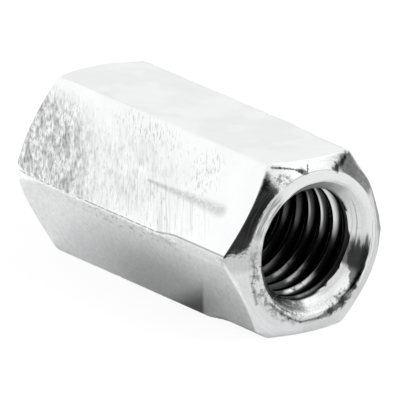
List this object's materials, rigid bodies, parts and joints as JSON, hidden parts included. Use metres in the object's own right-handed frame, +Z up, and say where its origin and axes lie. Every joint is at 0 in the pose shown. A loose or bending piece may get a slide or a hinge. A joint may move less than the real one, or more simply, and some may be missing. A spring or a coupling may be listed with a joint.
{
  "type": "hex coupling nut",
  "caption": "Long hexagonal nut with cone-turned ends and a countersunk bore threaded right through, for joining lengths of threaded rod end to end.",
  "frame": {"origin": "middle of the flat that the nut rests on, at the surface it lies on", "axes": "+Z up, +X along the bore towards the end that the picture shows, Y across the corners of the hexagon"},
  "size_m": [0.032, 0.0184, 0.016],
  "materials": {
    "zinc_plated_steel": "bright zinc plate on drawn steel bar, faintly uneven, with worn edges"
  },
  "bodies": {
    "root": {"coupling_nut": "zinc_plated_steel"}
  },
  "joints": []
}
